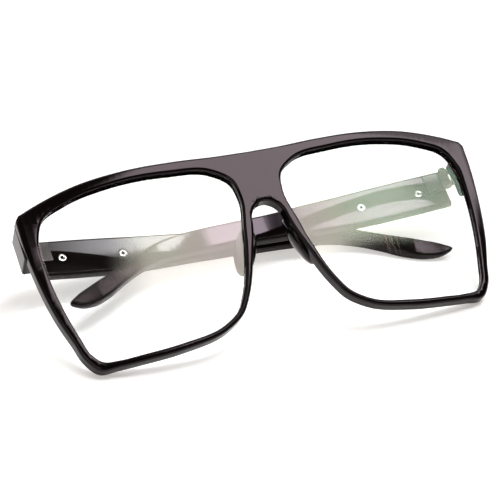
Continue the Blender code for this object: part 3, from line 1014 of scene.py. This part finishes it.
# The soft boxes overhead, by direction. Each fade has the shares of x and y that it runs along,
# where it starts and ends, and the strength before and after.
softBoxes = {
    "nearBox": {
        "strength": 9.4,
        "colour": (1.0, 0.985, 0.995),
        "fades": (
            ((1, -0.4), (0.01, 0.08), (0, 1)),
            ((0, 1), (-0.225, -0.19), (0, 1)),
            ((0, 1), (0.065, 0.075), (1, 0)),
            ((1, -2.5), (0.812, 0.842), (1, 0)),
            ((1, 0), (0.63, 0.67), (1, 0.80)),
            ((1, 1.5), (0.56, 0.62), (1, 0.50)),
        ),
    },
    "farLeftBox": {
        "strength": 18.0,
        "colour": (0.92, 0.90, 1.0),
        "fades": (
            ((0, 1), (0.065, 0.075), (0, 1)),
            ((0, 1), (0.14, 0.19), (1, 0)),
            ((1, 0), (0.212, 0.25), (0, 1)),
            ((1, 0), (0.40, 0.44), (1, 0)),
        ),
    },
    "farRightBox": {
        "strength": 28.0,
        "colour": (0.88, 1.0, 0.97),
        "fades": (
            ((0, 1), (0.150, 0.154), (0, 1)),
            ((0, 1), (0.175, 0.19), (1, 0)),
            ((1, 0), (0.435, 0.495), (0, 1)),
            ((1, 0), (0.53, 0.58), (1, 0)),
        ),
    },
    "tipBox": {
        "strength": 5.0,
        "colour": (1.0, 0.93, 0.90),
        "fades": (
            ((1, 0), (0.59, 0.665), (0.3, 1)),
            ((1, 0), (0.76, 0.85), (1, 0)),
            ((0, 1), (0.165, 0.175), (0, 1)),
            ((0, 1), (0.26, 0.30), (1, 0)),
        ),
    },
    "backBox": {
        "strength": 3.4,
        "colour": (1.0, 1.0, 1.0),
        "fades": (
            ((1, 0), (-0.60, -0.15), (0, 1)),
            ((1, 0), (0.30, 0.75), (1, 0)),
            ((0, 1), (0.50, 0.80), (0, 1)),
        ),
    },
}
room = {
    "horizon": (0.16, 0.16, 0.16),
    "ceiling": (0.05, 0.05, 0.05),
    "fade": (0.05, 0.45),
    "boxesFrom": (0.3, 0.45),  # the height at which the soft boxes begin
}


def makeWorld():
    world = bpy.data.worlds.new("softRoom")
    bpy.context.scene.world = world
    world.use_nodes = True
    nodes = world.node_tree.nodes
    links = world.node_tree.links
    coords = nodes.new("ShaderNodeTexCoord")
    split = nodes.new("ShaderNodeSeparateXYZ")
    links.new(coords.outputs["Generated"], split.inputs["Vector"])

    def calc(operation, first, second):
        node = nodes.new("ShaderNodeMath")
        node.operation = operation
        for socket, value in zip(node.inputs, (first, second)):
            if isinstance(value, (int, float)):
                socket.default_value = value
            else:
                links.new(value, socket)
        return node.outputs["Value"]

    def fade(source, edges, start, end):
        node = nodes.new("ShaderNodeMapRange")
        node.interpolation_type = "SMOOTHSTEP"
        node.inputs["From Min"].default_value = edges[0]
        node.inputs["From Max"].default_value = edges[1]
        node.inputs["To Min"].default_value = start
        node.inputs["To Max"].default_value = end
        links.new(source, node.inputs["Value"])
        return node.outputs["Result"]

    def added(first, second):
        node = nodes.new("ShaderNodeAddShader")
        links.new(first, node.inputs[0])
        links.new(second, node.inputs[1])
        return node.outputs["Shader"]

    x, y, z = (split.outputs[axis] for axis in "XYZ")
    overhead = fade(z, room["boxesFrom"], 0, 1)
    light = nodes["Background"].outputs["Background"]
    for box in softBoxes.values():
        shape = overhead
        for (shareX, shareY), edges, (before, after) in box["fades"]:
            run = calc("ADD", calc("MULTIPLY", x, shareX), calc("MULTIPLY", y, shareY))
            shape = calc("MULTIPLY", shape, fade(run, edges, before, after))
        shine = nodes.new("ShaderNodeBackground")
        shine.inputs["Color"].default_value = (*box["colour"], 1)
        links.new(calc("MULTIPLY", shape, box["strength"]), shine.inputs["Strength"])
        light = added(light, shine.outputs["Background"])
    ramp = nodes.new("ShaderNodeValToRGB")
    ramp.color_ramp.interpolation = "EASE"
    tones = (room["horizon"], room["ceiling"])
    for stop, place, tone in zip(ramp.color_ramp.elements, room["fade"], tones):
        stop.position = place
        stop.color = (*tone, 1)
    links.new(z, ramp.inputs["Fac"])
    links.new(ramp.outputs["Color"], nodes["Background"].inputs["Color"])
    nodes["Background"].inputs["Strength"].default_value = 1.0
    links.new(light, nodes["World Output"].inputs["Surface"])


camera = {
    "location": (-0.22375, -0.53268, 0.38390),
    "turn": (57.544, -1.820, -21.070),
    "lens": 159.195,
    "sensor": 36,
    "clip": (0.01, 20),
}


def makeCamera():
    lensData = bpy.data.cameras.new("photoCamera")
    lensData.lens = camera["lens"]
    lensData.sensor_width = camera["sensor"]
    lensData.clip_start, lensData.clip_end = camera["clip"]
    made = bpy.data.objects.new("photoCamera", lensData)
    bpy.context.scene.collection.objects.link(made)
    made.location = camera["location"]
    made.rotation_euler = [math.radians(a) for a in camera["turn"]]
    bpy.context.scene.camera = made


makeTable()
makePanel()
makeWorld()
makeCamera()
bpy.context.scene.view_settings.view_transform = "Standard"
print("table, light and camera made")
